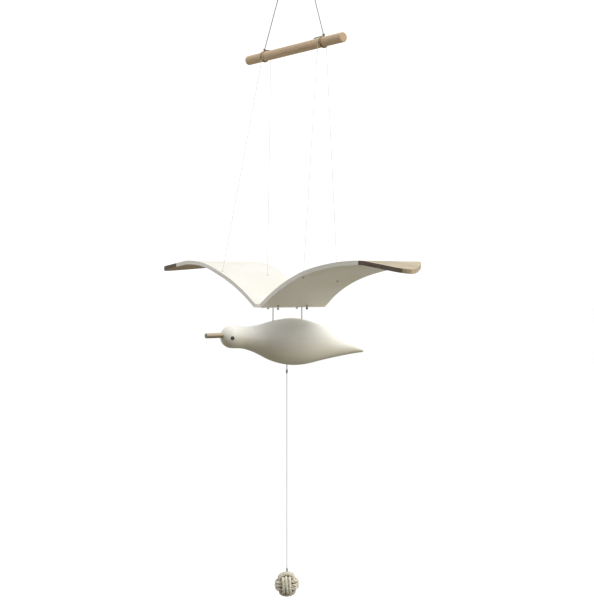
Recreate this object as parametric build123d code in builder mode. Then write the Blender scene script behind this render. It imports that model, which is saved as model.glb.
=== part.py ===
from build123d import *
import math
import os

# Flapping gull mobile: a gull with two bent plywood wings and a carved body,
# hung by thread from a wooden bar, and pulled by a cord with a monkey's fist.
# Millimetres. +Z is up, the beak points to -Y, the bird's left wing reaches to +X.
# The origin is the inside top of the hanging loop, where a ceiling hook bears.

os.makedirs("parts", exist_ok=True)

# Hanging loop, its knot and the two suspension cords
cord_d = 1.5
loop_foot_x = 0.95
loop_foot_z = -14.9
loop_side_x = 7.2
loop_side_z = -4.0
loop_top_z = 2.45
loop_knot_z = -18.6
loop_knot_r = 2.5
loop_knot_half_height = 3.4
bend_share = 0.45
leg_start_x = 1.1
leg_start_z = -22.5

# Top bar, a plain wooden dowel
bar_y = -5.3
bar_z = -171.7
bar_d = 12.0
bar_length = 192.0
bar_end_round = 1.2
left_hitch_x = 58.9
right_hitch_x = -60.9

# Hitches of the suspension cords on the bar
wrap_spacing = 1.4
wrap_bite = 0.05
hitch_knot_r = 1.9
hitch_knot_half_height = 1.6
hitch_knot_lift = 2.6
tail_end_lift = 0.85
left_tail_start_x = 57.2
left_tail_lift = 1.55
left_tail_end_x = 42.5
left_tail_turn = 16.0
right_tail_start_x = -59.2
right_tail_lift = 1.95
right_tail_end_x = -51.5
right_tail_turn = -12.0

# Wing threads and the saddles in which they cross the bar
thread_d = 0.6
saddle_x = 56.8
saddle_gap = 0.08
saddle_drop = 3.0
thread_top_x = 56.0
thread_top_rise = 1.5

# Wings, bent plywood, cut from one plan and bent to one profile
root_z = -490.0
wing_roll = 0.9
wing_t = 5.0
wing_root_x = 4.0
wing_root_rise = 1.8
inner_slope = 32.2
inner_length = 16.2
wrist_r = 291.0
wrist_turn = 32.2
hand_r = 100.0
hand_turn = 7.8
hand_length = 80.0
front_edge = [(80.0, 61.2), (100.0, 59.4), (120.0, 56.0), (145.0, 52.2), (175.0, 49.8), (205.0, 49.0), (228.0, 48.6)]
front_edge_root = 61.4
tip_points = [(242.0, 45.0), (247.0, 39.5), (245.0, 31.5), (237.0, 20.5)]
rear_edge = [
    (226.0, 7.5), (214.0, -6.0), (201.5, -19.5), (189.0, -31.5), (176.0, -40.5), (161.0, -46.0), (146.0, -47.8),
    (130.0, -47.2), (112.0, -44.4), (92.0, -39.8), (72.0, -36.6), (50.0, -35.4), (28.0, -36.6),
]
rear_edge_root = -39.4
profile_half_depth = 130.0
plan_half_height = 250.0
hole_cut_reach = 12.0

# Thread holes and root holes in each wing, as distances out and forward
front_hole = (83.7, 56.3)
rear_hole = (70.8, -6.2)
thread_hole_d = 3.0
stopper_r = 1.15
stopper_sink = 0.35
root_hole_x = 10.2
root_hole_d = 3.0
pivot_depth = 2.6

# Every knot's edge is rounded by this share of its smaller half size
knot_roundness = 0.75

# Root links, the cords that join the two wings and carry the body
link_d = 1.0
front_link_forward = 37.5
rear_link_forward = -7.6
link_top_rise = 6.4
link_bend_r = 2.0
link_knot_r = 1.5
link_knot_drop = 6.05
link_foot_drop = 5.35

# Hangers of the body
hanger_d = 1.2
hanger_loop_r = 1.35
hanger_loop_d = 1.0
hanger_start_drop = 1.75
hanger_foot_z = -19.6
hanger_hole_d = 3.0
hanger_hole_depth = 2.5
hanger_hole_reach = 7.5

# Body, carved wood: forward, height of the middle, half height, half width
head_forward = 99.9
head_z = -36.9
head_r = 13.6
body_sections = [
    (99.9, -36.9, 13.60, 13.60), (92.0, -37.4, 13.50, 13.30), (84.0, -38.2, 13.40, 13.00), (74.0, -39.5, 14.50, 13.90),
    (60.0, -41.3, 17.80, 16.30), (45.0, -43.1, 22.80, 19.60), (29.0, -44.3, 26.80, 22.20), (10.0, -45.1, 29.20, 23.60),
    (-10.0, -46.1, 28.00, 23.00), (-30.0, -47.3, 24.00, 20.70), (-50.0, -49.8, 18.50, 17.30), (-70.0, -53.0, 12.80, 13.60),
    (-90.0, -56.5, 7.10, 10.00), (-104.0, -59.7, 2.70, 7.40),
]

# Beak and eyes
beak_d = 6.0
beak_z = -34.8
beak_tip_forward = 136.8
beak_seat_forward = 101.0
beak_round = 0.7
eye_turn = 61.0
eye_z = -38.0
eye_r = 2.4
eye_depth = 4.0
eye_proud = 0.2
eye_round = 0.8

# Pull cord with its joining knot and its monkey's fist
pull_forward = 16.0
pull_hole_d = 3.0
pull_hole_depth = 5.0
belly_z = -73.7
tether_top_rise = 1.7
tether_end_z = -80.6
pull_knot_z = -82.2
pull_knot_r = 1.3
pull_knot_half_height = 2.6
pull_d = 1.0
pull_top_z = -85.2
pull_end_z = -327.4
ball_knot_z = -329.4
ball_knot_r = 2.0
ball_knot_half_height = 2.4
fist_z = -347.2
fist_r = 15.6
fist_core_r = 7.6
fist_core_gap = 0.05


def forward_y(forward):
    """Distances forward, towards the beak, run along -Y."""
    return -forward


def rolled(x, rise):
    """A point of the wing pair, which hangs rolled a little about the fore-and-aft axis."""
    turn = math.radians(wing_roll)
    across = x * math.cos(turn) + rise * math.sin(turn)
    height = rise * math.cos(turn) - x * math.sin(turn)
    return across, root_z + height


def surface_rise(distance):
    """Height of the wing's upper face above the root level at a distance from the middle."""
    slope = math.radians(inner_slope)
    bend_x = wing_root_x + inner_length * math.cos(slope)
    bend_rise = wing_root_rise + inner_length * math.sin(slope)
    if distance <= bend_x:
        return wing_root_rise + (distance - wing_root_x) * math.tan(slope)
    turned = math.asin(math.sin(slope) - (distance - bend_x) / wrist_r)
    return bend_rise + wrist_r * (math.cos(turned) - math.cos(slope))


def round_knot(center, radius, half_height):
    """A round knot, turned about its upright axis."""
    with BuildPart() as knot:
        with BuildSketch(Plane.XZ) as knot_outline:
            Rectangle(radius, 2 * half_height, align=(Align.MIN, Align.CENTER))
            outer_corners = knot_outline.vertices().group_by(Axis.X)[-1]
            fillet(outer_corners, radius=knot_roundness * min(radius, half_height))
        revolve(axis=Axis.Z)
    return Pos(*center) * knot.part


def straight_cord(start, end, diameter):
    """A taut cord between two points."""
    run = Vector(*end) - Vector(*start)
    with BuildPart() as cord:
        with BuildSketch(Plane(origin=start, z_dir=run)):
            Circle(diameter / 2)
        extrude(amount=run.length)
    return cord.part


def bent_radii(points):
    """Arc radii of a route: a share of the shorter run over the tangent of half the turn."""
    radii = []
    for before, here, after in zip(points, points[1:], points[2:]):
        run_in = Vector(*here) - Vector(*before)
        run_out = Vector(*after) - Vector(*here)
        turn = math.radians(run_in.get_angle(run_out))
        shorter = min(run_in.length, run_out.length)
        radii.append(bend_share * shorter / math.tan(turn / 2))
    return radii


def report_tube(name, solid, line_length, diameter):
    """Prints a tube's volume beside its section times its length."""
    expected = math.pi * diameter**2 / 4 * line_length
    print(name, "volume", round(solid.volume, 3), "section x length", round(expected, 3))


# Hanging loop
loop_route = [
    (-loop_foot_x, 0, loop_foot_z),
    (-loop_side_x, 0, loop_side_z),
    (0, 0, loop_top_z),
    (loop_side_x, 0, loop_side_z),
    (loop_foot_x, 0, loop_foot_z),
]
loop_radii = bent_radii(loop_route)
print("hanging_loop radii", [round(r, 2) for r in loop_radii])
with BuildPart() as hanging_loop:
    with BuildLine() as loop_line:
        FilletPolyline(*loop_route, radius=loop_radii)
    with BuildSketch(Plane(origin=loop_line.wire() @ 0, z_dir=loop_line.wire() % 0)):
        Circle(cord_d / 2)
    sweep()
report_tube("hanging_loop", hanging_loop.part, loop_line.wire().length, cord_d)
hanging_loop.part.label = "hanging_loop"
export_step(hanging_loop.part, "parts/hanging_loop.step")

# Loop knot
loop_knot = round_knot((0, 0, loop_knot_z), loop_knot_r, loop_knot_half_height)
loop_knot.label = "loop_knot"
export_step(loop_knot, "parts/loop_knot.step")

# Suspension cords, one to each side of the bar
bar_top_z = bar_z + bar_d / 2
hitch_knot_z = bar_top_z + hitch_knot_lift
for side, hitch_x, name in (
    (1, left_hitch_x, "suspension_cord_left"),
    (-1, right_hitch_x, "suspension_cord_right"),
):
    leg_top = (side * leg_start_x, 0, leg_start_z)
    leg_foot = (hitch_x, bar_y, hitch_knot_z)
    leg = straight_cord(leg_top, leg_foot, cord_d)
    report_tube(name, leg, (Vector(*leg_foot) - Vector(*leg_top)).length, cord_d)
    leg.label = name
    export_step(leg, f"parts/{name}.step")

# Top bar
with BuildPart() as top_bar:
    with BuildSketch(Plane.YZ.offset(-bar_length / 2)):
        with Locations((bar_y, bar_z)):
            Circle(bar_d / 2)
    extrude(amount=bar_length)
    fillet(top_bar.edges().filter_by(GeomType.CIRCLE), radius=bar_end_round)
top_bar.part.label = "top_bar"
export_step(top_bar.part, "parts/top_bar.step")

# Hitches: two turns round the bar, a knot on top of them and the cut tail
bar_axis = Axis((0, bar_y, bar_z), (1, 0, 0))
for hitch_x, name in ((left_hitch_x, "left"), (right_hitch_x, "right")):
    with BuildPart() as bar_wrap:
        with BuildSketch(Plane.XZ.offset(-bar_y)):
            with Locations((hitch_x, bar_z + bar_d / 2 + cord_d / 2 - wrap_bite)):
                with Locations((-wrap_spacing / 2, 0), (wrap_spacing / 2, 0)):
                    Circle(cord_d / 2)
        revolve(axis=bar_axis)
    bar_wrap.part.label = f"bar_wrap_{name}"
    export_step(bar_wrap.part, f"parts/bar_wrap_{name}.step")
    bar_knot = round_knot((hitch_x, bar_y, hitch_knot_z), hitch_knot_r, hitch_knot_half_height)
    bar_knot.label = f"bar_knot_{name}"
    export_step(bar_knot, f"parts/bar_knot_{name}.step")

for start_x, lift, end_x, turn, name in (
    (left_tail_start_x, left_tail_lift, left_tail_end_x, left_tail_turn, "bar_tail_left"),
    (right_tail_start_x, right_tail_lift, right_tail_end_x, right_tail_turn, "bar_tail_right"),
):
    reach = bar_d / 2 + tail_end_lift
    lean = math.radians(turn)
    tail_start = (start_x, bar_y, bar_z + bar_d / 2 + lift)
    tail_end = (end_x, bar_y - reach * math.sin(lean), bar_z + reach * math.cos(lean))
    tail = straight_cord(tail_start, tail_end, cord_d)
    tail.label = name
    export_step(tail, f"parts/{name}.step")

# Thread saddles: one thread crosses the bar at each side and hangs down both faces
saddle_r = bar_d / 2 + thread_d / 2 + saddle_gap
for side, name in ((1, "thread_saddle_left"), (-1, "thread_saddle_right")):
    with BuildPart() as saddle:
        with BuildLine(Plane.YZ.offset(side * saddle_x)) as saddle_line:
            rear_drop = Line((bar_y + saddle_r, bar_z - saddle_drop), (bar_y + saddle_r, bar_z))
            crown = ThreePointArc(rear_drop @ 1, (bar_y, bar_z + saddle_r), (bar_y - saddle_r, bar_z))
            Line(crown @ 1, (bar_y - saddle_r, bar_z - saddle_drop))
        with BuildSketch(Plane(origin=saddle_line.wire() @ 0, z_dir=saddle_line.wire() % 0)):
            Circle(thread_d / 2)
        sweep()
    report_tube(name, saddle.part, saddle_line.wire().length, thread_d)
    saddle.part.label = name
    export_step(saddle.part, f"parts/{name}.step")


def wing_hole_center(side, hole):
    """Middle of a wing's thread hole, half way through the plywood."""
    x, z = rolled(side * hole[0], surface_rise(hole[0]) - pivot_depth)
    return x, forward_y(hole[1]), z


def root_hole_center(side, forward):
    """Middle of a wing's root hole, half way through the plywood."""
    x, z = rolled(side * root_hole_x, surface_rise(root_hole_x) - pivot_depth)
    return x, forward_y(forward), z


# Wing threads, from the bar's two faces to the front and rear holes of each wing
for side, side_name in ((1, "left"), (-1, "right")):
    for face, hole, hole_name in ((-1, front_hole, "front"), (1, rear_hole, "rear")):
        name = f"wing_thread_{side_name}_{hole_name}"
        thread_top = (side * thread_top_x, bar_y + face * saddle_r, bar_z + thread_top_rise)
        thread_foot = wing_hole_center(side, hole)
        thread = straight_cord(thread_top, thread_foot, thread_d)
        run = (Vector(*thread_foot) - Vector(*thread_top)).length
        report_tube(name, thread, run, thread_d)
        print(name, "foot", [round(v, 3) for v in thread_foot], "run", round(run, 2))
        thread.label = name
        export_step(thread, f"parts/{name}.step")
        knot_center = (
            thread_foot[0],
            thread_foot[1],
            thread_foot[2] - pivot_depth - stopper_r + stopper_sink,
        )
        stopper = round_knot(knot_center, stopper_r, stopper_r)
        stopper.label = f"thread_knot_{side_name}_{hole_name}"
        export_step(stopper, f"parts/thread_knot_{side_name}_{hole_name}.step")


def make_wing(side):
    """One wing: the bent profile drawn out fore and aft, cut to the plan, then drilled."""
    roll = math.radians(wing_roll)
    across = (math.cos(roll), 0, -math.sin(roll))
    upward = (math.sin(roll), 0, math.cos(roll))
    profile_plane = Plane(origin=(0, 0, root_z), x_dir=across, z_dir=(0, -1, 0))
    plan_plane = Plane(origin=(0, 0, root_z), x_dir=across, z_dir=upward)
    slope = math.radians(inner_slope)
    start = Vector(side * wing_root_x, wing_root_rise)
    along = Vector(side * math.cos(slope), math.sin(slope))
    into = Vector(side * math.sin(slope), -math.cos(slope))
    with BuildPart() as wing:
        with BuildSketch(profile_plane):
            with BuildLine():
                upper_inner = Line(start, start + along * inner_length)
                upper_wrist = JernArc(upper_inner @ 1, upper_inner % 1, wrist_r, -side * wrist_turn)
                upper_hand = JernArc(upper_wrist @ 1, upper_wrist % 1, hand_r, -side * hand_turn)
                upper_tip = Line(upper_hand @ 1, upper_hand @ 1 + (upper_hand % 1) * hand_length)
                lower_start = start + into * wing_t
                lower_inner = Line(lower_start, lower_start + along * inner_length)
                lower_wrist = JernArc(lower_inner @ 1, lower_inner % 1, wrist_r - wing_t, -side * wrist_turn)
                lower_hand = JernArc(lower_wrist @ 1, lower_wrist % 1, hand_r - wing_t, -side * hand_turn)
                lower_tip = Line(lower_hand @ 1, lower_hand @ 1 + (lower_hand % 1) * hand_length)
                Line(upper_tip @ 1, lower_tip @ 1)
                Line(upper_inner @ 0, lower_inner @ 0)
            make_face()
        extrude(amount=profile_half_depth, both=True)
        with BuildSketch(plan_plane):
            with BuildLine():
                root_front = (0, -front_edge_root)
                root_rear = (0, -rear_edge_root)
                edge = [(side * x, -y) for x, y in front_edge]
                tip = [(side * x, -y) for x, y in tip_points]
                back = [(side * x, -y) for x, y in rear_edge]
                front_straight = Line(root_front, edge[0])
                front_curve = Spline(*edge, tangents=(front_straight % 1, (side, 0)))
                tip_curve = Spline(front_curve @ 1, *tip, back[0], tangents=(front_curve % 1, (-side, 1)))
                back_curve = Spline(*back, root_rear, tangents=(tip_curve % 1, (-side, 0)))
                Line(back_curve @ 1, root_front)
            make_face()
        extrude(amount=plan_half_height, both=True, mode=Mode.INTERSECT)
        for hole in (front_hole, rear_hole):
            x, y, z = wing_hole_center(side, hole)
            with BuildSketch(Plane.XY.offset(z)):
                with Locations((x, y)):
                    Circle(thread_hole_d / 2)
            extrude(amount=hole_cut_reach, both=True, mode=Mode.SUBTRACT)
        for forward in (front_link_forward, rear_link_forward):
            x, y, z = root_hole_center(side, forward)
            with BuildSketch(Plane.XY.offset(z)):
                with Locations((x, y)):
                    Circle(root_hole_d / 2)
            extrude(amount=hole_cut_reach, both=True, mode=Mode.SUBTRACT)
    return wing.part


for side, name in ((1, "left_wing"), (-1, "right_wing")):
    wing = make_wing(side)
    print(name, "volume", round(wing.volume, 1), "solids", len(wing.solids()), wing.bounding_box())
    wing.label = name
    export_step(wing, f"parts/{name}.step")

# Root links: each cord rises through one wing, crosses to the other and ends in knots below
link_top_z = root_z + link_top_rise
for forward, place in ((front_link_forward, "front"), (rear_link_forward, "rear")):
    left = root_hole_center(1, forward)
    right = root_hole_center(-1, forward)
    with BuildPart() as root_link:
        with BuildLine() as link_line:
            FilletPolyline(
                (right[0], right[1], right[2] - link_foot_drop),
                (right[0], right[1], link_top_z),
                (left[0], left[1], link_top_z),
                (left[0], left[1], left[2] - link_foot_drop),
                radius=link_bend_r,
            )
        with BuildSketch(Plane(origin=link_line.wire() @ 0, z_dir=link_line.wire() % 0)):
            Circle(link_d / 2)
        sweep()
    report_tube(f"root_link_{place}", root_link.part, link_line.wire().length, link_d)
    root_link.part.label = f"root_link_{place}"
    export_step(root_link.part, f"parts/root_link_{place}.step")
    for hole, side_name in ((left, "left"), (right, "right")):
        print(f"root_hole_{side_name}_{place}", [round(v, 3) for v in hole])
        knot = round_knot((hole[0], hole[1], hole[2] - link_knot_drop - link_knot_r / 2), link_knot_r, link_knot_r)
        knot.label = f"link_knot_{side_name}_{place}"
        export_step(knot, f"parts/link_knot_{side_name}_{place}.step")

# Hangers of the body: a loop round each link and a short cord down into the back
for forward, place in ((front_link_forward, "front"), (rear_link_forward, "rear")):
    hanger_y = forward_y(forward)
    with BuildPart() as hanger_loop:
        with BuildSketch(Plane.XY.offset(link_top_z)):
            with Locations((0, hanger_y + hanger_loop_r)):
                Circle(hanger_loop_d / 2)
        revolve(axis=Axis((0, hanger_y, link_top_z), (1, 0, 0)))
    hanger_loop.part.label = f"hanger_loop_{place}"
    export_step(hanger_loop.part, f"parts/hanger_loop_{place}.step")
    hanger_top = (0, hanger_y, link_top_z - hanger_start_drop)
    hanger_foot = (0, hanger_y, root_z + hanger_foot_z)
    hanger = straight_cord(hanger_top, hanger_foot, hanger_d)
    hanger.label = f"hanger_{place}"
    export_step(hanger, f"parts/hanger_{place}.step")

# Body: the head's front is half a ball, the rest a loft of ovals back to the flat tail
with BuildPart() as body:
    for forward, height, half_height, half_width in body_sections:
        section = Plane(origin=(0, forward_y(forward), root_z + height), x_dir=(1, 0, 0), z_dir=(0, -1, 0))
        with BuildSketch(section):
            Ellipse(half_width, half_height)
    loft()
    with BuildSketch(Plane.YZ):
        with Locations((forward_y(head_forward), root_z + head_z)):
            Circle(head_r)
            Rectangle(head_r, 2 * head_r, align=(Align.MIN, Align.CENTER), mode=Mode.SUBTRACT)
            Rectangle(2 * head_r, head_r, align=(Align.CENTER, Align.MAX), mode=Mode.SUBTRACT)
    revolve(axis=Axis((0, forward_y(head_forward), root_z + head_z), (0, 1, 0)))
    for forward in (front_link_forward, rear_link_forward):
        with BuildSketch(Plane.XY.offset(root_z + hanger_foot_z - hanger_hole_depth)):
            with Locations((0, forward_y(forward))):
                Circle(hanger_hole_d / 2)
        extrude(amount=hanger_hole_depth + hanger_hole_reach, mode=Mode.SUBTRACT)
    with BuildSketch(Plane.XY.offset(root_z + belly_z)):
        with Locations((0, forward_y(pull_forward))):
            Circle(pull_hole_d / 2)
    extrude(amount=pull_hole_depth, both=True, mode=Mode.SUBTRACT)
    with BuildSketch(Plane.XZ.offset(beak_seat_forward)):
        with Locations((0, root_z + beak_z)):
            Circle(beak_d / 2)
    extrude(amount=beak_tip_forward - beak_seat_forward, mode=Mode.SUBTRACT)
    for side in (1, -1):
        turn = math.radians(eye_turn)
        gaze = Vector(side * math.sin(turn), -math.cos(turn), 0)
        eye_seat = Vector(0, forward_y(head_forward), root_z + eye_z) + gaze * (head_r - eye_depth)
        with BuildSketch(Plane(origin=eye_seat, z_dir=gaze)):
            Circle(eye_r)
        extrude(amount=2 * eye_depth, mode=Mode.SUBTRACT)
print("body volume", round(body.part.volume, 1), "solids", len(body.part.solids()), body.part.bounding_box())
body.part.label = "body"
export_step(body.part, "parts/body.step")

# Beak, a length of thin dowel set in the head
with BuildPart() as beak:
    with BuildSketch(Plane.XZ.offset(beak_seat_forward)):
        with Locations((0, root_z + beak_z)):
            Circle(beak_d / 2)
    extrude(amount=beak_tip_forward - beak_seat_forward)
    fillet(beak.edges().filter_by(GeomType.CIRCLE).sort_by(Axis.Y)[0], radius=beak_round)
beak.part.label = "beak"
export_step(beak.part, "parts/beak.step")

# Eyes, black studs with domed heads
for side, name in ((1, "eye_left"), (-1, "eye_right")):
    turn = math.radians(eye_turn)
    gaze = Vector(side * math.sin(turn), -math.cos(turn), 0)
    eye_seat = Vector(0, forward_y(head_forward), root_z + eye_z) + gaze * (head_r - eye_depth)
    with BuildPart() as eye:
        with BuildSketch(Plane(origin=eye_seat, z_dir=gaze)):
            Circle(eye_r)
        extrude(amount=eye_depth + eye_proud)
        fillet(eye.edges().filter_by(GeomType.CIRCLE).sort_by(Axis(eye_seat, gaze))[-1], radius=eye_round)
    eye.part.label = name
    export_step(eye.part, f"parts/{name}.step")

# Tether and joining knot under the belly
pull_y = forward_y(pull_forward)
tether_top = (0, pull_y, root_z + belly_z + tether_top_rise)
pull_tether = straight_cord(tether_top, (0, pull_y, root_z + tether_end_z), hanger_d)
pull_tether.label = "pull_tether"
export_step(pull_tether, "parts/pull_tether.step")
pull_knot = round_knot((0, pull_y, root_z + pull_knot_z), pull_knot_r, pull_knot_half_height)
pull_knot.label = "pull_knot"
export_step(pull_knot, "parts/pull_knot.step")

# Pull cord
pull_top = (0, pull_y, root_z + pull_top_z)
pull_foot = (0, pull_y, root_z + pull_end_z)
pull_cord = straight_cord(pull_top, pull_foot, pull_d)
report_tube("pull_cord", pull_cord, pull_top_z - pull_end_z, pull_d)
pull_cord.label = "pull_cord"
export_step(pull_cord, "parts/pull_cord.step")

# Knot over the monkey's fist
ball_knot = round_knot((0, pull_y, root_z + ball_knot_z), ball_knot_r, ball_knot_half_height)
ball_knot.label = "ball_knot"
export_step(ball_knot, "parts/ball_knot.step")

# Monkey's fist, a ball of rope round a wooden core
fist_center = (0, pull_y, root_z + fist_z)
with BuildPart() as monkey_fist:
    with Locations(fist_center):
        Sphere(fist_r)
        Sphere(fist_core_r + fist_core_gap, mode=Mode.SUBTRACT)
monkey_fist.part.label = "monkey_fist"
export_step(monkey_fist.part, "parts/monkey_fist.step")

with BuildPart() as fist_core:
    with Locations(fist_center):
        Sphere(fist_core_r)
fist_core.part.label = "fist_core"
export_step(fist_core.part, "parts/fist_core.step")
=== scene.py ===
import bpy
import math
import random
from mathutils import Matrix, Vector


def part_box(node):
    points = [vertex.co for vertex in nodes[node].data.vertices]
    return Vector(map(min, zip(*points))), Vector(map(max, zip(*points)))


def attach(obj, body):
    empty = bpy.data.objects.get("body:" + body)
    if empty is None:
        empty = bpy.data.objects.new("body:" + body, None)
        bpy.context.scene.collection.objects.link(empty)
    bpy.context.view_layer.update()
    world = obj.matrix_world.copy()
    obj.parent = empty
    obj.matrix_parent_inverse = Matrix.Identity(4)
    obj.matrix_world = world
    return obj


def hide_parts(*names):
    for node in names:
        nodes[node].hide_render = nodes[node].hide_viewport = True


# A hanging flapping-gull mobile. Metres, the CAD frame: +Z up, beak to -Y,
# the bird's left wing to +X, origin at the inside top of the hanging loop.
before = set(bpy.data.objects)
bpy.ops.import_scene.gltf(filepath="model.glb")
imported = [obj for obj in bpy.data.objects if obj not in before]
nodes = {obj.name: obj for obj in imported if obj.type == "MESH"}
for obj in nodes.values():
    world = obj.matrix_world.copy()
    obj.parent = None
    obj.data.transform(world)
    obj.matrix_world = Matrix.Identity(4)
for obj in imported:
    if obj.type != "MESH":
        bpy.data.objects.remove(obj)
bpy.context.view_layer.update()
collection = bpy.context.scene.collection


# ---------------------------------------------------------------- camera

CAMERA_PLACE = (1.1930, -0.9321, -0.4645)
CAMERA_AZIMUTH = 52.0
CAMERA_PITCH = -0.79
CAMERA_LENS = 72.3

turn = math.radians(CAMERA_AZIMUTH)
pitch = math.radians(CAMERA_PITCH)
look = Vector((-math.sin(turn) * math.cos(pitch), math.cos(turn) * math.cos(pitch), math.sin(pitch)))
camera_data = bpy.data.cameras.new("camera")
camera_data.lens = CAMERA_LENS
camera_data.sensor_width = 36.0
camera_data.clip_start = 0.05
camera_data.clip_end = 100.0
camera = bpy.data.objects.new("camera", camera_data)
camera.location = CAMERA_PLACE
camera.rotation_euler = look.to_track_quat("-Z", "Y").to_euler()
collection.objects.link(camera)
bpy.context.scene.camera = camera


# ---------------------------------------------------------------- nodes for materials


def fill_ramp(ramp, stops):
    """The places and colours of a colour ramp; stops are (place, colour) pairs."""
    elements = ramp.color_ramp.elements
    while len(elements) < len(stops):
        elements.new(0.5)
    for element, (place, color) in zip(elements, stops):
        element.position = place
        element.color = (*color, 1.0)


class Shader:
    """Builds one procedural material around a Principled shader."""

    def __init__(self, name, roughness, **uniform):
        self.material = bpy.data.materials.new(name)
        self.material.use_nodes = True
        self.tree = self.material.node_tree
        self.bsdf = self.tree.nodes["Principled BSDF"]
        self.bsdf.inputs["Roughness"].default_value = roughness
        for socket, value in uniform.items():
            self.bsdf.inputs[socket.replace("_", " ")].default_value = value
        coordinates = self.node("ShaderNodeTexCoord")
        self.position = coordinates.outputs["Object"]
        self.normal = coordinates.outputs["Normal"]

    def node(self, kind, **settings):
        made = self.tree.nodes.new(kind)
        for key, value in settings.items():
            setattr(made, key, value)
        return made

    def link(self, source, target):
        self.tree.links.new(source, target)

    def place(self, scale=(1, 1, 1), turned=(0, 0, 0)):
        """The position, scaled and turned."""
        mapping = self.node("ShaderNodeMapping")
        mapping.inputs["Scale"].default_value = scale
        mapping.inputs["Rotation"].default_value = turned
        self.link(self.position, mapping.inputs["Vector"])
        return mapping.outputs["Vector"]

    def noise(self, vector, scale, detail=4.0, rough=0.55, distortion=0.0):
        made = self.node("ShaderNodeTexNoise")
        made.inputs["Scale"].default_value = scale
        made.inputs["Detail"].default_value = detail
        made.inputs["Roughness"].default_value = rough
        made.inputs["Distortion"].default_value = distortion
        self.link(vector, made.inputs["Vector"])
        return made.outputs["Fac"]

    def wave(self, vector, scale, distortion, direction="X", kind="BANDS", detail=2.0):
        made = self.node("ShaderNodeTexWave", wave_type=kind, wave_profile="SIN")
        if kind == "BANDS":
            made.bands_direction = direction
        else:
            made.rings_direction = direction
        made.inputs["Scale"].default_value = scale
        made.inputs["Distortion"].default_value = distortion
        made.inputs["Detail"].default_value = detail
        made.inputs["Detail Scale"].default_value = 1.5
        self.link(vector, made.inputs["Vector"])
        return made.outputs["Fac"]

    def ramp(self, factor, stops):
        made = self.node("ShaderNodeValToRGB")
        fill_ramp(made, stops)
        self.link(factor, made.inputs["Fac"])
        return made.outputs["Color"]

    def span(self, value, low, high, to_low=0.0, to_high=1.0):
        """value from low..high to to_low..to_high, held at the ends."""
        made = self.node("ShaderNodeMapRange")
        made.clamp = True
        made.interpolation_type = "SMOOTHSTEP"
        made.inputs["From Min"].default_value = low
        made.inputs["From Max"].default_value = high
        made.inputs["To Min"].default_value = to_low
        made.inputs["To Max"].default_value = to_high
        self.link(value, made.inputs["Value"])
        return made.outputs["Result"]

    def math(self, operation, first, second):
        made = self.node("ShaderNodeMath", operation=operation)
        for socket, value in zip(made.inputs, (first, second)):
            if isinstance(value, (int, float)):
                socket.default_value = value
            else:
                self.link(value, socket)
        return made.outputs["Value"]

    def mix(self, factor, first, second, blend="MIX"):
        made = self.node("ShaderNodeMix", data_type="RGBA", blend_type=blend)
        sockets = made.inputs[0], made.inputs[6], made.inputs[7]
        for socket, value in zip(sockets, (factor, first, second)):
            if isinstance(value, (int, float)):
                socket.default_value = value
            elif isinstance(value, tuple):
                socket.default_value = (*value, 1.0)
            else:
                self.link(value, socket)
        return made.outputs[2]

    def split(self, vector):
        made = self.node("ShaderNodeSeparateXYZ")
        self.link(vector, made.inputs["Vector"])
        return made.outputs["X"], made.outputs["Y"], made.outputs["Z"]

    def bump(self, height, distance, strength):
        made = self.node("ShaderNodeBump")
        made.inputs["Distance"].default_value = distance
        made.inputs["Strength"].default_value = strength
        self.link(height, made.inputs["Height"])
        return made.outputs["Normal"]

    def finish(self, color, normal, roughness=None):
        self.link(color, self.bsdf.inputs["Base Color"])
        self.link(normal, self.bsdf.inputs["Normal"])
        if roughness is not None:
            self.link(roughness, self.bsdf.inputs["Roughness"])
        return self.material


def tone(red, green, blue):
    """An sRGB colour of 0-255 as linear light."""
    channels = []
    for value in (red, green, blue):
        share = value / 255
        channels.append(share / 12.92 if share <= 0.04045 else ((share + 0.055) / 1.055) ** 2.4)
    return tuple(channels)


# ---------------------------------------------------------------- paint and wood

PAINT = tone(239, 239, 234)
PAINT_WARM = tone(233, 231, 222)
PAINT_SHADE = tone(222, 219, 207)
PLAIN = (1.0, 1.0, 1.0)


def paint_layers(shader, grain_along):
    """Colour, height and roughness of brushed white paint over fine wood grain."""
    stretched = shader.place(scale=grain_along)
    grain = shader.noise(stretched, 260.0, detail=6.0, rough=0.6)
    brush = shader.noise(stretched, 60.0, detail=3.0, distortion=0.4)
    clouds = shader.noise(shader.position, 14.0, detail=2.0)
    specks = shader.noise(shader.position, 900.0, detail=2.0)
    color = shader.ramp(clouds, [(0.35, PAINT_WARM), (0.65, PAINT)])
    color = shader.mix(shader.span(grain, 0.52, 0.72, 0.0, 0.35), color, PAINT_SHADE)
    height = shader.math("ADD", shader.math("MULTIPLY", grain, 0.55), shader.math("MULTIPLY", brush, 0.45))
    height = shader.math("ADD", height, shader.math("MULTIPLY", specks, 0.12))
    rough = shader.span(brush, 0.3, 0.7, 0.46, 0.66)
    return color, height, rough


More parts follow.
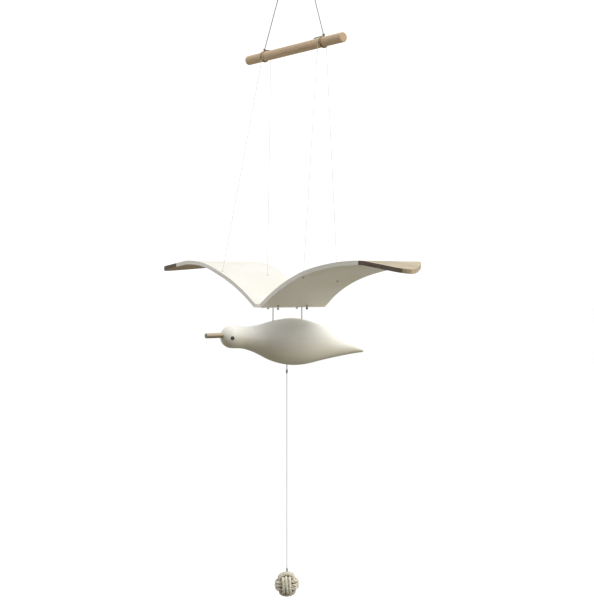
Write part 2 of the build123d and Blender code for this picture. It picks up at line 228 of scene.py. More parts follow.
def wood_layers(shader, grain_along, pale, middle, dark):
    """Colour, height and roughness of bare wood with its grain along one way."""
    stretched = shader.place(scale=grain_along)
    bands = shader.noise(stretched, 46.0, detail=5.0, rough=0.6, distortion=0.25)
    fibres = shader.noise(stretched, 330.0, detail=5.0, rough=0.65)
    finer = shader.place(scale=tuple(share * 1.8 for share in grain_along))
    pores = shader.noise(finer, 520.0, detail=1.0)
    color = shader.ramp(bands, [(0.28, dark), (0.46, middle), (0.68, pale)])
    color = shader.mix(shader.span(fibres, 0.45, 0.75, 0.0, 0.45), color, dark)
    pore_mask = shader.span(pores, 0.66, 0.74)
    color = shader.mix(shader.math("MULTIPLY", pore_mask, 0.5), color, tuple(c * 0.45 for c in dark))
    pits = shader.math("MULTIPLY", pore_mask, 0.6)
    height = shader.math("SUBTRACT", shader.math("MULTIPLY", fibres, 0.7), pits)
    rough = shader.span(fibres, 0.35, 0.7, 0.50, 0.68)
    return color, height, rough


WING_GRAIN = (0.06, 1.0, 1.0)

# Places on a wing, in metres: these out from the mobile's middle,
BARE_FROM, BARE_FULL = 0.1752, 0.1762
NEAR_TIP_END, NEAR_TIP_INNER = 0.2430, 0.2405
FAR_PAINT_END, FAR_PAINT_FULL = 0.2045, 0.2025
# and these along Y, towards the leading edge.
NEAR_FRONT_FROM, NEAR_FRONT_FULL = -0.030, -0.0375
FAR_FRONT_FROM, FAR_FRONT_FULL = -0.040, -0.0445


def near_tip_rim(shader, out, y, scorch, layers):
    """The left tip's edge: burnt dark in front, and tan round the end."""
    front = shader.span(y, NEAR_FRONT_FROM, NEAR_FRONT_FULL)
    burnt = shader.mix(shader.span(scorch, 0.4, 0.66), layers, tone(66, 54, 42))
    burnt = shader.mix(shader.span(out, 0.174, 0.190, 1.0, 0.0), burnt, tone(92, 66, 56))
    end_tan = shader.mix(shader.span(scorch, 0.35, 0.65), tone(176, 160, 134), tone(148, 128, 100))
    along_front = shader.math("MULTIPLY", front, shader.span(out, NEAR_TIP_END, NEAR_TIP_INNER))
    return shader.mix(along_front, end_tan, burnt)


def far_painted_front(shader, out, y, up, rim):
    """Where the right tip's leading edge is still painted."""
    front = shader.span(y, FAR_FRONT_FROM, FAR_FRONT_FULL)
    front = shader.math("MULTIPLY", front, shader.span(out, FAR_PAINT_END, FAR_PAINT_FULL))
    front = shader.math("MULTIPLY", front, shader.span(up, -0.75, -0.5))
    return shader.math("MULTIPLY", front, rim)


def wing_material(name, side):
    """White paint with a bare tip; side is +1 for the left wing and -1 for the right."""
    shader = Shader(name, 0.55)
    paint, paint_height, paint_rough = paint_layers(shader, WING_GRAIN)
    tan, wood_height, wood_rough = wood_layers(
        shader, WING_GRAIN, tone(185, 173, 147), tone(171, 156, 128), tone(137, 118, 91)
    )
    x, y, _ = shader.split(shader.position)
    up = shader.split(shader.normal)[2]
    out = shader.math("MULTIPLY", x, float(side))
    wobble = shader.noise(shader.position, 120.0, detail=2.0)
    edge_x = shader.math("ADD", out, shader.math("MULTIPLY", wobble, 0.0035))
    bare = shader.span(edge_x, BARE_FROM, BARE_FULL)
    down = shader.span(up, -0.35, -0.55)
    rim = shader.math("MULTIPLY", shader.span(up, 0.45, 0.25), shader.span(up, -0.45, -0.25))

    scorch = shader.noise(shader.place(scale=(0.25, 1.0, 1.0)), 140.0, detail=4.0, rough=0.6)
    # painted shade: bare wood on the faces that look down gets a tone of its own, darker towards the tip
    under = shader.mix(shader.span(scorch, 0.35, 0.7), tone(188, 169, 141), tone(162, 142, 115))
    under = shader.mix(shader.span(out, 0.150, 0.235), under, tone(162, 141, 110))
    veneers = shader.wave(shader.place(), 1150.0, 0.6, direction="Z")
    layers = shader.mix(shader.span(veneers, 0.35, 0.65), tone(116, 98, 80), tone(76, 62, 48))
    wood = shader.mix(down, tan, under)
    if side > 0:
        wood = shader.mix(rim, wood, near_tip_rim(shader, out, y, scorch, layers))
    else:
        wood = shader.mix(rim, wood, shader.mix(shader.span(scorch, 0.4, 0.66), layers, tone(84, 68, 50)))
        painted_front = far_painted_front(shader, out, y, up, rim)
        bare = shader.math("MULTIPLY", bare, shader.math("SUBTRACT", 1.0, painted_front))

    # painted light and shade: faces that look down are painted brighter and warmer, and faces that look up
    # darker, for how the light falls on them
    painted_light_by_facing = shader.mix(shader.span(up, -0.2, 0.2), (1.07, 1.04, 0.985), (0.825, 0.813, 0.79))
    paint = shader.mix(1.0, paint, painted_light_by_facing, "MULTIPLY")
    # painted shade: the paint on the edge faces, which look neither up nor down, is made a little greyer
    painted = shader.mix(shader.math("MULTIPLY", rim, 0.5), paint, tone(232, 231, 227))
    color = shader.mix(bare, painted, wood)

    # bare wood lies a coat of paint lower
    grain = shader.math("MULTIPLY", shader.math("MULTIPLY", bare, wood_height), 0.9)
    height = shader.math("ADD", paint_height, grain)
    height = shader.math("SUBTRACT", height, shader.math("MULTIPLY", bare, 0.55))
    rough = shader.math(
        "ADD",
        shader.math("MULTIPLY", paint_rough, shader.math("SUBTRACT", 1.0, bare)),
        shader.math("MULTIPLY", wood_rough, bare),
    )
    return shader.finish(color, shader.bump(height, 0.00012, 0.7), rough)


def body_material():
    """White paint over carved wood, with soft tool facets, handled patches and painted shade that makes it
    darker and yellower towards the bottom.
    """
    shader = Shader("body_paint", 0.55)
    paint, height, rough = paint_layers(shader, (1.0, 0.07, 1.0))
    facets = shader.noise(shader.place(scale=(1.0, 0.5, 1.0)), 38.0, detail=2.0)
    height = shader.math("ADD", height, shader.math("MULTIPLY", facets, 0.9))
    handled = shader.noise(shader.position, 26.0, detail=4.0)
    paint = shader.mix(shader.span(handled, 0.5, 0.8, 0.0, 0.22), paint, tone(214, 206, 190))
    up = shader.split(shader.normal)[2]
    # painted shade: the paint is darker and yellower the more a face looks down
    painted_shade_low = shader.mix(shader.span(up, -0.7, 0.65), (0.76, 0.73, 0.635), PLAIN)
    paint = shader.mix(1.0, paint, painted_shade_low, "MULTIPLY")
    return shader.finish(paint, shader.bump(height, 0.00014, 0.7), rough)


# How squarely a face must look along a dowel to be its end, and over what it blends.
END_FACING, END_BLEND = 0.6, 0.15


def dowel_material(name, grain_along, across, end_axis, woods, blush, painted_shade_below=PLAIN):
    """A bare dowel: long grain on its side and growth rings on its ends.

    woods are its pale, middle and dark tones, and the last argument is a painted shade that darkens the
    faces that look down.
    """
    shader = Shader(name, 0.6)
    pale, middle, dark = woods
    color, height, rough = wood_layers(shader, grain_along, pale, middle, dark)
    patches = shader.noise(shader.place(scale=grain_along), 30.0, detail=2.0)
    color = shader.mix(shader.span(patches, 0.52, 0.72, 0.0, 0.55), color, blush)
    normal = shader.split(shader.normal)
    # painted shade: faces that look down are darkened by the last argument's tint
    below = shader.mix(shader.span(normal[2], -0.4, 0.5), painted_shade_below, PLAIN)
    color = shader.mix(1.0, color, below, "MULTIPLY")
    facing = normal["XYZ".index(end_axis)]
    end_mask = shader.math(
        "ADD",
        shader.span(facing, END_FACING, END_FACING + END_BLEND),
        shader.span(facing, -END_FACING, -END_FACING - END_BLEND),
    )
    rings = shader.wave(shader.place(scale=across), 620.0, 1.6, direction="SPHERICAL", kind="RINGS")
    end_grain = shader.mix(rings, tuple(c * 0.78 for c in dark), middle)
    speckle = shader.noise(shader.position, 1500.0, detail=3.0)
    dots = tuple(c * 0.6 for c in dark)
    end_grain = shader.mix(shader.span(speckle, 0.5, 0.7, 0.0, 0.6), end_grain, dots)
    color = shader.mix(end_mask, color, end_grain)
    return shader.finish(color, shader.bump(height, 0.0001, 0.8), rough)


def eye_material(name):
    """Glossy near-black."""
    shader = Shader(name, 0.08, Coat_Weight=0.6, Coat_Roughness=0.03)
    specks = shader.noise(shader.position, 900.0, detail=2.0)
    color = shader.mix(shader.span(specks, 0.4, 0.7), (0.004, 0.004, 0.004), (0.012, 0.011, 0.010))
    height = shader.noise(shader.position, 500.0, detail=2.0)
    return shader.finish(color, shader.bump(height, 0.00002, 0.2))


def cord_material(name, pale, dark, fuzz=3200.0, sheen=0.25):
    """Cotton yarn: fibres, uneven dye and a little sheen."""
    shader = Shader(name, 0.85, Sheen_Weight=sheen, Sheen_Roughness=0.5)
    fibres = shader.noise(shader.place(scale=(1.0, 1.0, 0.35)), fuzz, detail=4.0, rough=0.7)
    slubs = shader.noise(shader.position, 260.0, detail=2.0)
    color = shader.mix(shader.span(fibres, 0.35, 0.7), pale, dark)
    color = shader.mix(shader.span(slubs, 0.45, 0.75, 0.0, 0.4), color, dark)
    return shader.finish(color, shader.bump(fibres, 0.00008, 0.8))


def thread_material(name, pale, dark):
    """Fine twisted thread: slanting plies along an upright run."""
    shader = Shader(name, 0.55, Sheen_Weight=0.15, Sheen_Roughness=0.4)
    plies = shader.wave(shader.place(turned=(0.6, 0.5, 0.0)), 170.0, 0.3, direction="Z", detail=1.0)
    fuzz = shader.noise(shader.position, 2600.0, detail=3.0)
    color = shader.mix(shader.math("MULTIPLY", plies, 0.8), dark, pale)
    color = shader.mix(shader.span(fuzz, 0.45, 0.75, 0.0, 0.35), color, dark)
    height = shader.math("ADD", plies, shader.math("MULTIPLY", fuzz, 0.3))
    return shader.finish(color, shader.bump(height, 0.00006, 0.7))


MATERIALS = {
    "suspension": cord_material("suspension_cotton", tone(186, 184, 178), tone(126, 123, 116)),
    "wrap_near": cord_material("hitch_cotton_dark", tone(196, 170, 136), tone(132, 106, 78)),
    "wrap_far": cord_material("hitch_cotton_gold", tone(210, 184, 142), tone(152, 124, 86)),
    "tie": cord_material("knot_cotton", tone(140, 130, 112), tone(86, 78, 66)),
    "thread": thread_material("wing_thread", tone(238, 238, 234), tone(196, 196, 192)),
    "saddle": thread_material("saddle_thread", tone(206, 180, 144), tone(150, 124, 92)),
    "pale": cord_material("pale_knot_cord", tone(226, 224, 216), tone(178, 174, 164)),
    "grey": cord_material("grey_cord", tone(150, 150, 144), tone(96, 94, 88)),
    "pull": thread_material("pull_thread", tone(236, 236, 232), tone(190, 189, 184)),
    "rope": cord_material("fist_rope", tone(230, 225, 208), tone(178, 170, 148), fuzz=2400.0, sheen=0.35),
    "fist_core": cord_material("fist_filling", tone(150, 132, 104), tone(90, 76, 56)),
}


def recoat(node, material):
    """Gives a CAD node its own material."""
    nodes[node].data.materials.clear()
    nodes[node].data.materials.append(material)


SIDES = (("left", 1), ("right", -1))
for side_name, side in SIDES:
    recoat(side_name + "_wing", wing_material(side_name + "_wing_paint", side))
    recoat("eye_" + side_name, eye_material("eye_" + side_name + "_gloss"))
recoat("body", body_material())
bar_wood = dowel_material(
    "bar_wood",
    grain_along=(0.05, 1.0, 1.0),
    across=(0.0, 1.0, 1.0),
    end_axis="X",
    woods=(tone(216, 192, 160), tone(202, 174, 140), tone(168, 137, 104)),
    blush=tone(208, 160, 134),
)
recoat("top_bar", bar_wood)
beak_wood = dowel_material(
    "beak_wood",
    grain_along=(1.0, 0.06, 1.0),
    across=(1.0, 0.0, 1.0),
    end_axis="Y",
    woods=(tone(206, 197, 172), tone(184, 172, 146), tone(128, 112, 88)),
    blush=tone(156, 132, 110),
    # painted shade on the beak's faces that look down
    painted_shade_below=(0.48, 0.46, 0.42),
)
recoat("beak", beak_wood)


# ---------------------------------------------------------------- curves, tubes and ropes

ROPE_LAY = 4.2
STEPS_PER_TURN = 14
END_SHARE = 0.55
# A ply's radius in its rope's diameters, by the number of plies.
PLY_SHARES = {2: 0.25, 3: 0.268}
KNOT_LAY = 4.0
KNOT_STEPS = 150
KNOT_CORE_SHARE = 0.55
KNOT_CORE_HEIGHTS = (-0.7, -0.35, 0.0, 0.35, 0.7)


def nurbs_route(name, points, bevel=0.0):
    """A NURBS curve with the points of the route as its control points."""
    data = bpy.data.curves.new(name, "CURVE")
    data.dimensions = "3D"
    data.resolution_u = 24
    spline = data.splines.new("NURBS")
    spline.points.add(len(points) - 1)
    for point, place in zip(spline.points, points):
        point.co = (*place, 1.0)
    spline.order_u = 3
    spline.use_endpoint_u = True
    data.bevel_depth = bevel
    data.bevel_resolution = 5
    data.use_fill_caps = True
    piece = bpy.data.objects.new(name, data)
    collection.objects.link(piece)
    return piece


def route_line(points):
    """The NURBS spline of a route as the points that Blender evaluates it to."""
    guide = nurbs_route("guide", points)
    bpy.context.view_layer.update()
    mesh = bpy.data.meshes.new_from_object(guide)
    line = [vertex.co.copy() for vertex in mesh.vertices]
    bpy.data.meshes.remove(mesh)
    data = guide.data
    bpy.data.objects.remove(guide)
    bpy.data.curves.remove(data)
    return line


def even_line(line, step):
    """The same line, walked at an even step."""
    total = sum((b - a).length for a, b in zip(line, line[1:]))
    count = max(2, round(total / step))
    walked, reached, index = [line[0].copy()], 0.0, 0
    for number in range(1, count):
        target = total * number / count
        while reached + (line[index + 1] - line[index]).length < target:
            reached += (line[index + 1] - line[index]).length
            index += 1
        piece = line[index + 1] - line[index]
        walked.append(line[index] + piece * ((target - reached) / piece.length))
    walked.append(line[-1].copy())
    return walked


def frames_along(line, closed=False):
    """A place, and two directions across the line that turn as little as they can."""
    count = len(line)
    tangents = []
    for i in range(count):
        if closed:
            tangent = line[(i + 1) % count] - line[(i - 1) % count]
        else:
            tangent = line[min(i + 1, count - 1)] - line[max(i - 1, 0)]
        tangents.append(tangent.normalized())
    across = tangents[0].orthogonal().normalized()
    made = []
    for place, tangent in zip(line, tangents):
        across = (across - tangent * across.dot(tangent)).normalized()
        made.append((place, across, tangent.cross(across)))
    return made


def closing_twist(line, frames):
    """How far the frames of a closed line have turned when they come back to the first."""
    across = frames[-1][1]
    tangent = (line[0] - line[-1]).normalized()
    carried = (across - tangent * across.dot(tangent)).normalized()
    return math.atan2(carried.dot(frames[0][2]), carried.dot(frames[0][1]))


def tube_mesh(line, radius, sides=10, closed=False):
    """Vertices and faces of a round tube along a line; an open tube narrows at its ends."""
    vertices, faces = [], []
    frames = frames_along(line, closed)
    count = len(frames)
    twist = closing_twist(line, frames) if closed else 0.0
    for i, (place, across, other) in enumerate(frames):
        extra = -twist * i / count
        size = radius
        if not closed and i in (0, count - 1):
            size = radius * END_SHARE
        for s in range(sides):
            angle = 2 * math.pi * s / sides + extra
            vertices.append(place + (across * math.cos(angle) + other * math.sin(angle)) * size)
    for i in range(count if closed else count - 1):
        here, there = i * sides, ((i + 1) % count) * sides
        for s in range(sides):
            t = (s + 1) % sides
            faces.append((here + s, here + t, there + t, there + s))
    if not closed:
        faces.append(tuple(reversed(range(sides))))
        faces.append(tuple((count - 1) * sides + s for s in range(sides)))
    return vertices, faces


def mesh_piece(name, parts, material):
    """One object from several sets of vertices and faces."""
    vertices, faces = [], []
    for part_vertices, part_faces in parts:
        start = len(vertices)
        vertices.extend(part_vertices)
        faces.extend(tuple(start + i for i in face) for face in part_faces)
    mesh = bpy.data.meshes.new(name)
    mesh.from_pydata([tuple(v) for v in vertices], [], faces)
    mesh.validate()
    for polygon in mesh.polygons:
        polygon.use_smooth = True
    mesh.materials.append(material)
    piece = bpy.data.objects.new(name, mesh)
    collection.objects.link(piece)
    return piece


def rope_parts(line, diameter, plies=3, lay=ROPE_LAY, sides=8, closed=False, phase=0.0, fill=1.0):
    """Twisted plies that wind round a line; lay is the length of one turn in diameters."""
    frames = frames_along(line, closed)
    lengths = [0.0]
    for a, b in zip(line, line[1:]):
        lengths.append(lengths[-1] + (b - a).length)
    total = lengths[-1] + ((line[0] - line[-1]).length if closed else 0.0)
    turns = total / (lay * diameter)
    closing = 0.0
    if closed:
        turns = max(1, round(turns))
        closing = closing_twist(line, frames)
    ply_share = PLY_SHARES[plies]
    ply_r = diameter * ply_share * fill
    ply_off = diameter / 2 - diameter * ply_share
    parts = []
    for ply in range(plies):
        wound = []
        for (place, across, other), length in zip(frames, lengths):
            angle = phase + 2 * math.pi * (ply / plies + turns * length / total) - closing * length / total
            wound.append(place + (across * math.cos(angle) + other * math.sin(angle)) * ply_off)
        parts.append(tube_mesh(wound, ply_r, sides=sides, closed=closed))
    return parts


def rope_piece(name, points, diameter, material, **settings):
    """A twisted rope along the NURBS spline of a route, and the line it follows."""
    line = even_line(route_line(points), ROPE_LAY * diameter / STEPS_PER_TURN)
    piece = mesh_piece(name, rope_parts(line, diameter, **settings), material)
    return piece, line


def overhand_parts(center, radius, half_height, strand, turned):
    """An overhand knot drawn tight, as a closed run of twisted cord inside a knot's size."""
    across = (radius - strand / 2) / 3
    tall = half_height - strand / 2
    turning = Matrix.Rotation(turned, 3, "Z")
    line = []
    for i in range(KNOT_STEPS):
        t = 2 * math.pi * i / KNOT_STEPS
        reach = (2 + math.cos(3 * t)) * across
        place = Vector((reach * math.cos(2 * t), reach * math.sin(2 * t), math.sin(3 * t) * tall))
        line.append(center + turning @ place)
    return rope_parts(line, strand, lay=KNOT_LAY, sides=6, closed=True)


def box_middle(node):
    """A node's middle, and half its width and height."""
    low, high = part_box(node)
    return (low + high) / 2, (high.x - low.x) / 2, (high.z - low.z) / 2


def stand_for(piece, node, body):
    """The piece rides on the body and takes the CAD node's place; the CAD node is hidden."""
    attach(piece, body)
    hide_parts(node)


def knot_piece(name, node, strand, material, body, turned, slim=1.0):
    """A tight knot that stands for a plain CAD knot; slim narrows it."""
    middle, radius, half_height = box_middle(node)
    radius *= slim
    parts = overhand_parts(middle, radius, half_height, strand, turned)
    core_line = [middle + Vector((0, 0, half_height * share)) for share in KNOT_CORE_HEIGHTS]
    parts.append(tube_mesh(core_line, radius * KNOT_CORE_SHARE))
    piece = mesh_piece(name, parts, material)
    stand_for(piece, node, body)
    return piece


# ---------------------------------------------------------------- hanging loop and suspension

CORD_D = 0.0015
LOOP_ROUTE = [
    (-0.00095, 0, -0.0149),
    (-0.0072, 0, -0.0040),
    (0, 0, 0.00245),
    (0.0072, 0, -0.0040),
    (0.00095, 0, -0.0149),
]
loop, loop_line = rope_piece("hanging_loop_rope", LOOP_ROUTE, CORD_D, MATERIALS["suspension"])
stand_for(loop, "hanging_loop", "hook_loop")
knot_piece("loop_knot_tied", "loop_knot", 0.0013, MATERIALS["suspension"], "top_knot", 0.4)

LEG_ROUTES = {
    "left": [(0.0589, -0.0053, -0.1631), (0.00452, -0.00031, -0.03082), (0.0011, 0, -0.0225)],
    "right": [(-0.0609, -0.0053, -0.1631), (-0.00461, -0.00031, -0.03076), (-0.0011, 0, -0.0225)],
}
for side_name, route in LEG_ROUTES.items():
    leg, leg_line = rope_piece("suspension_" + side_name + "_rope", route, CORD_D, MATERIALS["suspension"])
    stand_for(leg, "suspension_cord_" + side_name, "bar_frame")


# ---------------------------------------------------------------- hitches on the bar

bar_low, bar_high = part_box("top_bar")
bar_middle = (bar_low + bar_high) / 2
bar_radius = (bar_high.z - bar_low.z) / 2
HITCH_X = {"left": 0.0589, "right": -0.0609}
HITCH_LOOKS = {"left": "wrap_near", "right": "wrap_far"}
WRAP_HALF_WIDTH = 0.0007
WRAP_LIFT = 0.00072
HELIX_STEP = 0.0004
TAIL_ROUTES = {
    "left": [(0.0572, -0.0053, -0.16415), (0.0498, -0.00624, -0.16463), (0.0425, -0.00719, -0.16512)],
    "right": [(-0.0592, -0.0053, -0.16375), (-0.0553, -0.00459, -0.16438), (-0.0515, -0.00388, -0.1650)],
}


def round_bar(x, radius, angle):
    """A point at a distance from the bar's axis; angle 0 is above it."""
    return Vector((x, bar_middle.y + radius * math.sin(angle), bar_middle.z + radius * math.cos(angle)))


def bar_helix(start_x, end_x, radius, turns):
    """A line round the bar, from above it, that moves along it as it turns."""
    count = max(12, round(2 * math.pi * radius * abs(turns) / HELIX_STEP))
    line = []
    for i in range(count + 1):
        share = i / count
        line.append(round_bar(start_x + (end_x - start_x) * share, radius, 2 * math.pi * turns * share))
    return line


for side_name, side in SIDES:
    middle_x = HITCH_X[side_name]
    half_width = side * WRAP_HALF_WIDTH
    wound = bar_helix(middle_x - half_width, middle_x + half_width, bar_radius + WRAP_LIFT, 2.0 * side)
    wrap_parts = rope_parts(wound, CORD_D, fill=1.04)
    wrap = mesh_piece("hitch_wrap_" + side_name, wrap_parts, MATERIALS[HITCH_LOOKS[side_name]])
    stand_for(wrap, "bar_wrap_" + side_name, "bar_frame")
    knot = "bar_knot_" + side_name
    knot_piece("hitch_knot_" + side_name, knot, 0.0012, MATERIALS["tie"], "bar_frame", 0.9 * side)

for side_name, route in TAIL_ROUTES.items():
    tail, _ = rope_piece("hitch_tail_" + side_name, route, CORD_D, MATERIALS["tie"])
    stand_for(tail, "bar_tail_" + side_name, "bar_frame")


# ---------------------------------------------------------------- wing threads

THREAD_D = 0.0006
SADDLE_X = 0.0568
SADDLE_R = 0.00638
SADDLE_LEG = 0.003
SADDLE_STEP = 0.00022
THREAD_ROUTES = {
    ("left", "front"): [
        (0.056, -0.01168, -0.1702), (0.05635, -0.01224, -0.17374), (0.084296, -0.0563, -0.452697),
    ],
    ("left", "rear"): [
        (0.056, 0.00108, -0.1702), (0.05619, 0.00114, -0.17379), (0.071327, 0.0062, -0.456979),
    ],
    ("right", "front"): [
        (-0.056, -0.01168, -0.1702), (-0.05634, -0.01224, -0.17374), (-0.083083, -0.0563, -0.450068),
    ],
    ("right", "rear"): [
        (-0.056, 0.00108, -0.1702), (-0.05618, 0.00114, -0.17379), (-0.070255, 0.0062, -0.454754),
    ],
}


def saddle_line(x):
    """Up one face of the bar, over it and down the other."""
    steps = 32
    over = [round_bar(x, SADDLE_R, -math.pi / 2 + math.pi * i / steps) for i in range(steps + 1)]
    drop = Vector((0, 0, -SADDLE_LEG))
    first, last = over[0], over[-1]
    return [first + drop, first + drop / 2, *over, last + drop / 2, last + drop]


for side_name, side in SIDES:
    saddle = mesh_piece(
        "thread_saddle_" + side_name + "_wound",
        rope_parts(even_line(saddle_line(side * SADDLE_X), SADDLE_STEP), THREAD_D, plies=2, sides=6),
        MATERIALS["saddle"],
    )
    stand_for(saddle, "thread_saddle_" + side_name, "bar_frame")
    for place in ("front", "rear"):
        route = THREAD_ROUTES[(side_name, place)]
        name = "wing_thread_" + side_name + "_" + place
        thread = nurbs_route(name + "_spun", route, bevel=THREAD_D / 2)
        thread.data.materials.append(MATERIALS["thread"])
        stand_for(thread, name, side_name + "_" + place + "_thread")
        knot = "thread_knot_" + side_name + "_" + place
        knot_piece(knot + "_tied", knot, 0.0007, MATERIALS["thread"], side_name + "_wing_body", 0.7 * side)


# ---------------------------------------------------------------- root links and hangers

LINK_D = 0.001
# The links are thinner than in CAD, which leaves the wings more room at flap's lower limit.
LINK_SLIM = 0.84
LINK_Z = -0.4836
HANGER_D = 0.0012
RING_R = 0.00135
RING_CORD_D = 0.00098
RING_STEPS = 72

for place, y in (("front", -0.0375), ("rear", 0.0076)):
    route = [
        (-0.010150, y, -0.492086),
        (-0.010150, y, -0.4855),
        (-0.010150, y, LINK_Z),
        (-0.0060, y, LINK_Z),
        (0.0060, y, LINK_Z),
        (0.010248, y, LINK_Z),
        (0.010248, y, -0.4855),
        (0.010248, y, -0.492406),
    ]
    link_name = "root_link_" + place
    link, _ = rope_piece(link_name + "_rope", route, LINK_SLIM * LINK_D, MATERIALS["grey"], sides=7)
    stand_for(link, link_name, "root_links")
    for side_name, _ in SIDES:
        knot = "link_knot_" + side_name + "_" + place
        knot_look = "tie" if (side_name, place) == ("left", "rear") else "pale"
        knot_piece(knot + "_tied", knot, 0.0009, MATERIALS[knot_look], "root_links", 0.5)
    ring = []
    for i in range(RING_STEPS):
        angle = 2 * math.pi * i / RING_STEPS
        ring.append(Vector((0, y + RING_R * math.sin(angle), LINK_Z + RING_R * math.cos(angle))))
    ring_parts = rope_parts(ring, RING_CORD_D, closed=True, sides=7)
    ring_piece = mesh_piece("hanger_loop_" + place + "_tied", ring_parts, MATERIALS["grey"])
    stand_for(ring_piece, "hanger_loop_" + place, "bird")
    route = [(0, y, -0.48535), (0, y, -0.49255), (0, y, -0.5096)]
    hanger, _ = rope_piece("hanger_" + place + "_rope", route, HANGER_D, MATERIALS["grey"])
    stand_for(hanger, "hanger_" + place, "bird")


# ---------------------------------------------------------------- pull cord and monkey's fist

PULL_D = 0.001
TETHER_ROUTE = [(0, -0.016, -0.5620), (0, -0.016, -0.5664), (0, -0.016, -0.5706)]
PULL_ROUTE = [(0, -0.016, -0.5752), (0, -0.016, -0.8114), (0, -0.016, -0.8174)]

tether, _ = rope_piece("pull_tether_rope", TETHER_ROUTE, HANGER_D, MATERIALS["grey"])
stand_for(tether, "pull_tether", "tether")
knot_piece("pull_knot_tied", "pull_knot", 0.0009, MATERIALS["grey"], "tether", 0.3)
ball_knot = knot_piece("ball_knot_tied", "ball_knot", 0.0009, MATERIALS["grey"], "pull", 1.1, slim=0.6)

fist_low, fist_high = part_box("monkey_fist")
fist_middle = (fist_low + fist_high) / 2
fist_radius = (fist_high.z - fist_low.z) / 2
STRAND_D = 0.00395
OUTER = fist_radius - STRAND_D / 2
INNER = OUTER - STRAND_D * 0.94
STRAND_SPACING = STRAND_D * 1.01
DIVE_FROM, DIVE_OVER = 33.0, 34.0
BAND_STEPS = 150
BAND_SWING = 0.00022
FIST_LAY = 3.4
FIST_FACING = 45.0
FIST_LEAN, FIST_TWIST = 4.0, 6.0
random.seed(7)


def band_reach(angle):
    """How far out a band runs: outside on its own faces, inside where it dives under the next.

    The dive starts and ends at angles given in degrees.
    """
    off = abs(((angle + math.pi / 2) % math.pi) - math.pi / 2)
    dive = max(0.0, min(1.0, (math.degrees(off) - DIVE_FROM) / DIVE_OVER))
    smooth = dive * dive * (3 - 2 * dive)
    return OUTER + (INNER - OUTER) * smooth


def band_line(along, side_way, offset, swing):
    """One closed turn of a band, moved sideways from the ball's middle."""
    line = []
    normal = along.cross(side_way)
    for i in range(BAND_STEPS):
        angle = 2 * math.pi * i / BAND_STEPS
        reach = band_reach(angle)
        shrunk = math.sqrt(max(reach * reach - offset * offset, 1e-9))
        sway = offset * (1 - 0.06 * math.cos(4 * angle)) + swing * math.sin(2 * angle + offset * 900)
        place = fist_middle + along * (math.cos(angle) * shrunk)
        place = place + side_way * (math.sin(angle) * shrunk)
        line.append(place + normal * sway)
    return line


facing = math.radians(FIST_FACING)
face_way = Vector((math.sin(facing), -math.cos(facing), 0.0))
up_way = Vector((0, 0, 1))
lean = Matrix.Rotation(math.radians(FIST_LEAN), 3, face_way)
tilt = lean @ Matrix.Rotation(math.radians(FIST_TWIST), 3, up_way)
face_way = tilt @ face_way
up_way = tilt @ up_way
cross_way = face_way.cross(up_way)
fist_parts = []
for along, side_way in ((face_way, up_way), (up_way, cross_way), (cross_way, face_way)):
    for number in (-1, 0, 1):
        turn_line = band_line(along, side_way, number * STRAND_SPACING, BAND_SWING)
        phase = random.uniform(0, 6.28)
        fist_parts += rope_parts(
            turn_line, STRAND_D, lay=FIST_LAY, sides=9, closed=True, phase=phase, fill=1.06
        )
fist = mesh_piece("monkey_fist_rope", fist_parts, MATERIALS["rope"])
stand_for(fist, "monkey_fist", "pull")
recoat("fist_core", MATERIALS["fist_core"])

pull = nurbs_route("pull_cord_spun", PULL_ROUTE, bevel=PULL_D / 2)
pull.data.materials.append(MATERIALS["pull"])
stand_for(pull, "pull_cord", "pull")


# ---------------------------------------------------------------- floor, sky and light

FLOOR_Z = -1.25
FLOOR_REACH = 40.0
KEY_PLACE = (2.40, 0.45, 0.95)
KEY_AIM = (0.0, -0.01, -0.50)
KEY_WATTS = 50.0
CARD_MIDDLE = Vector((1.250, -1.295, -0.55))
CARD_WIDTH, CARD_HEIGHT = 3.6, 2.6

# Sky colours from straight below (0) over the horizon (0.5) to straight above (1).
# The floor sends no light back, so the lower half stands in for it.
SKY_STOPS = [
    (0.00, (0.415, 0.394, 0.332)),
    (0.25, (0.365, 0.347, 0.290)),
    (0.42, (0.380, 0.364, 0.312)),
    (0.475, (1.10, 1.10, 1.09)),
    (0.62, (1.20, 1.20, 1.19)),
    (0.76, (1.12, 1.12, 1.12)),
    (1.00, (1.05, 1.05, 1.05)),
]


def floor_material():
    """Pale paper."""
    shader = Shader("floor_paper", 0.9)
    mottle = shader.noise(shader.position, 1.4, detail=2.0)
    fibre = shader.noise(shader.position, 60.0, detail=3.0)
    color = shader.mix(shader.span(mottle, 0.3, 0.7), (0.90, 0.90, 0.895), (0.93, 0.93, 0.925))
    return shader.finish(color, shader.bump(fibre, 0.0005, 0.1))


def card_material():
    """Dark felt."""
    shader = Shader("card_felt", 0.95)
    felt = shader.noise(shader.position, 90.0, detail=3.0)
    color = shader.mix(felt, (0.035, 0.033, 0.030), (0.055, 0.052, 0.048))
    return shader.finish(color, shader.bump(felt, 0.0005, 0.2))


def stage_sheet(name, corners, material):
    """One flat sheet of the studio, which isn't part of the mobile."""
    mesh = bpy.data.meshes.new(name)
    mesh.from_pydata(corners, [], [(0, 1, 2, 3)])
    mesh.materials.append(material)
    sheet = bpy.data.objects.new(name, mesh)
    collection.objects.link(sheet)
    sheet.visible_glossy = False
    return sheet


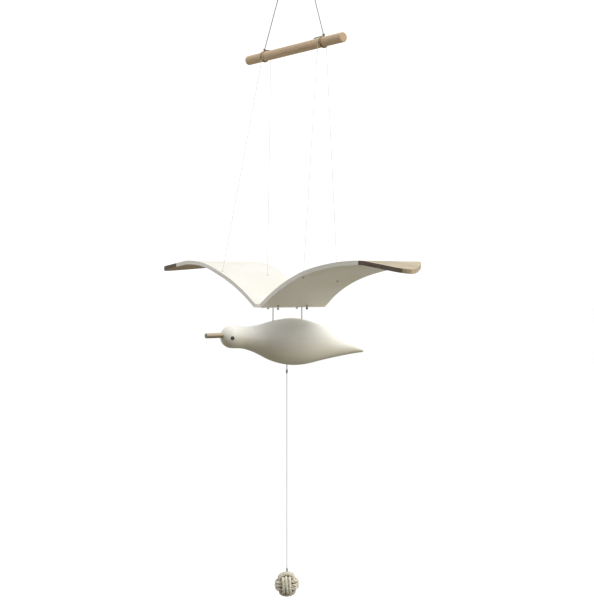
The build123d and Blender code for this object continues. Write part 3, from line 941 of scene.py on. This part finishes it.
floor_corners = [
    (-FLOOR_REACH, -FLOOR_REACH, FLOOR_Z),
    (FLOOR_REACH, -FLOOR_REACH, FLOOR_Z),
    (FLOOR_REACH, FLOOR_REACH, FLOOR_Z),
    (-FLOOR_REACH, FLOOR_REACH, FLOOR_Z),
]
floor = stage_sheet("floor", floor_corners, floor_material())
floor.visible_diffuse = False

world = bpy.data.worlds.new("studio")
bpy.context.scene.world = world
world.use_nodes = True
world_tree = world.node_tree
background = world_tree.nodes["Background"]
direction = world_tree.nodes.new("ShaderNodeTexCoord")
split = world_tree.nodes.new("ShaderNodeSeparateXYZ")
rise = world_tree.nodes.new("ShaderNodeMapRange")
rise.inputs["From Min"].default_value = -1.0
rise.inputs["From Max"].default_value = 1.0
sky = world_tree.nodes.new("ShaderNodeValToRGB")
fill_ramp(sky, SKY_STOPS)
world_tree.links.new(direction.outputs["Generated"], split.inputs["Vector"])
world_tree.links.new(split.outputs["Z"], rise.inputs["Value"])
world_tree.links.new(rise.outputs["Result"], sky.inputs["Fac"])
world_tree.links.new(sky.outputs["Color"], background.inputs["Color"])
background.inputs["Strength"].default_value = 1.0

key = bpy.data.lights.new("key", "AREA")
key.shape = "DISK"
key.size = 1.0
key.energy = KEY_WATTS
key.color = (1.0, 0.995, 0.985)
key_lamp = bpy.data.objects.new("key", key)
key_lamp.location = KEY_PLACE
key_lamp.rotation_euler = (Vector(KEY_AIM) - Vector(KEY_PLACE)).to_track_quat("-Z", "Y").to_euler()
collection.objects.link(key_lamp)

# An upright dark card that faces the mobile and that no camera sees. It keeps light off the
# near side, and also shades the floor at its foot.
away = Vector((CARD_MIDDLE.x, CARD_MIDDLE.y, 0.0)).normalized()
across = Vector((-away.y, away.x, 0.0)) * (CARD_WIDTH / 2)
up = Vector((0.0, 0.0, CARD_HEIGHT / 2))
card_corners = []
for sideways, upward in ((-1, -1), (1, -1), (1, 1), (-1, 1)):
    card_corners.append(tuple(CARD_MIDDLE + across * sideways + up * upward))
card = stage_sheet("card_front", card_corners, card_material())
card.visible_camera = False

bpy.context.scene.view_settings.view_transform = "Standard"
